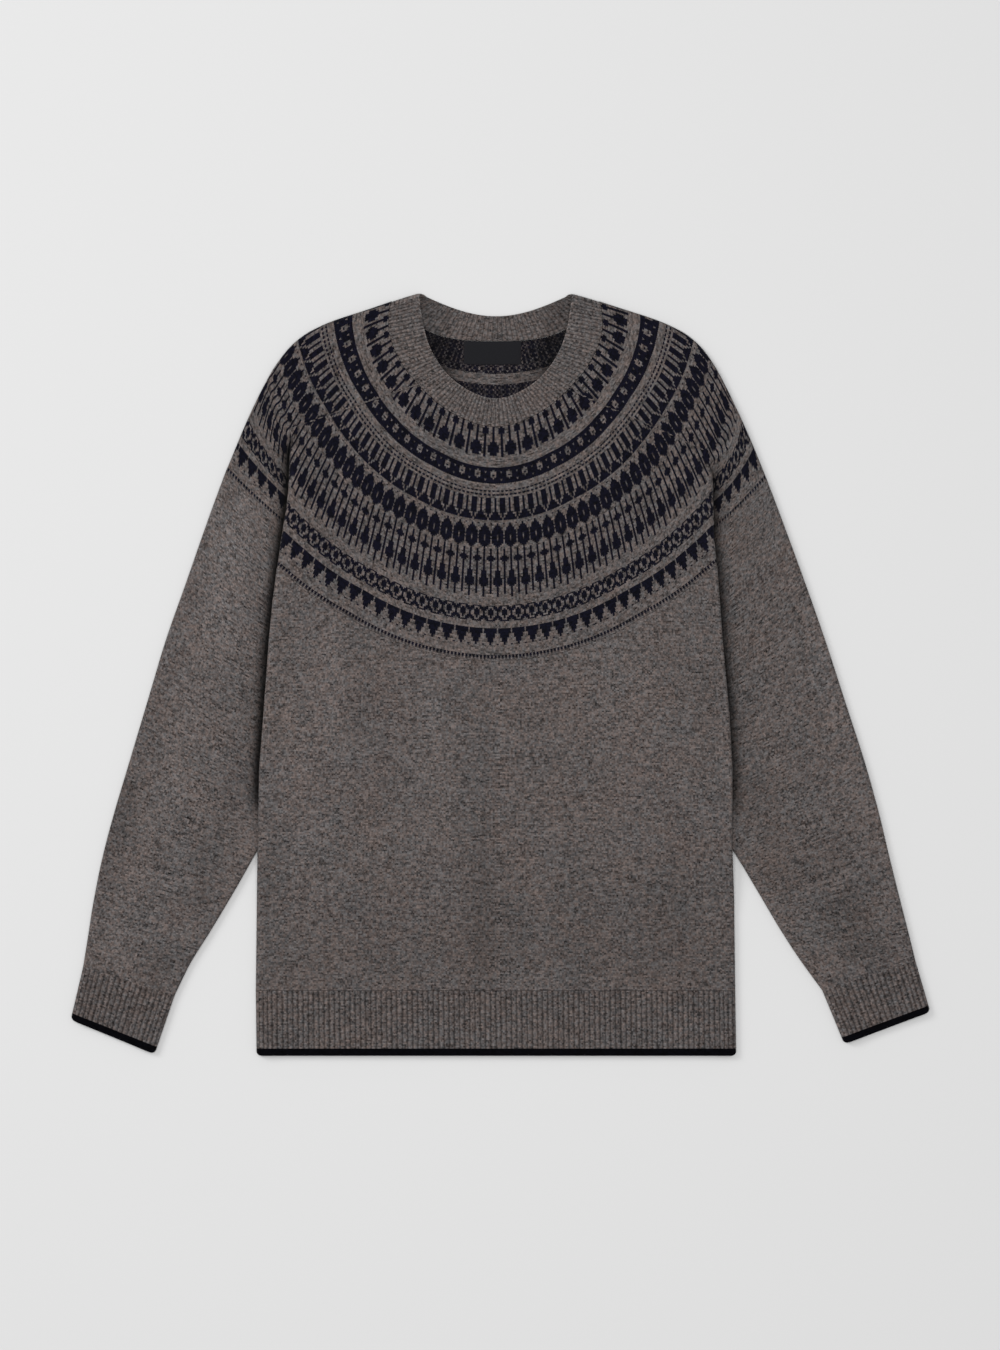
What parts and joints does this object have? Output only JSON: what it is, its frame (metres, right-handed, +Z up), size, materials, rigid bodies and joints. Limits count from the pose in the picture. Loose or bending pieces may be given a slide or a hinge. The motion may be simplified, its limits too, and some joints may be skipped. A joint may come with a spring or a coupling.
{
  "type": "sweater",
  "caption": "Knitted crew-neck sweater with a patterned round yoke, ribbed neckband, cuffs and hem, laid flat on its back.",
  "frame": {"origin": "centre of the bounding box's base, on the floor under the middle of the laid-out sweater", "axes": "+Z up from the floor, +Y towards the neck, +X across the sweater to the wearer's left sleeve"},
  "size_m": [0.7931, 0.7039, 0.0112],
  "materials": {
    "body_knit": "plain knit, taupe melange wool",
    "yoke_knit": "stranded knit, navy on taupe",
    "rib_knit": "ribbed knit, taupe",
    "tipping_knit": "knitted edge, navy",
    "label_cloth": "plain woven tape, dark"
  },
  "bodies": {
    "root": {"yoke_front": "yoke_knit", "yoke_back": "yoke_knit", "body_front": "body_knit", "body_back": "body_knit", "sleeve_left": "body_knit", "sleeve_right": "body_knit", "cuff_left": "rib_knit", "cuff_right": "rib_knit", "cuff_tipping_left": "tipping_knit", "cuff_tipping_right": "tipping_knit", "hem_rib": "rib_knit", "hem_tipping": "tipping_knit", "neckband": "rib_knit", "neck_label": "label_cloth"}
  },
  "joints": []
}
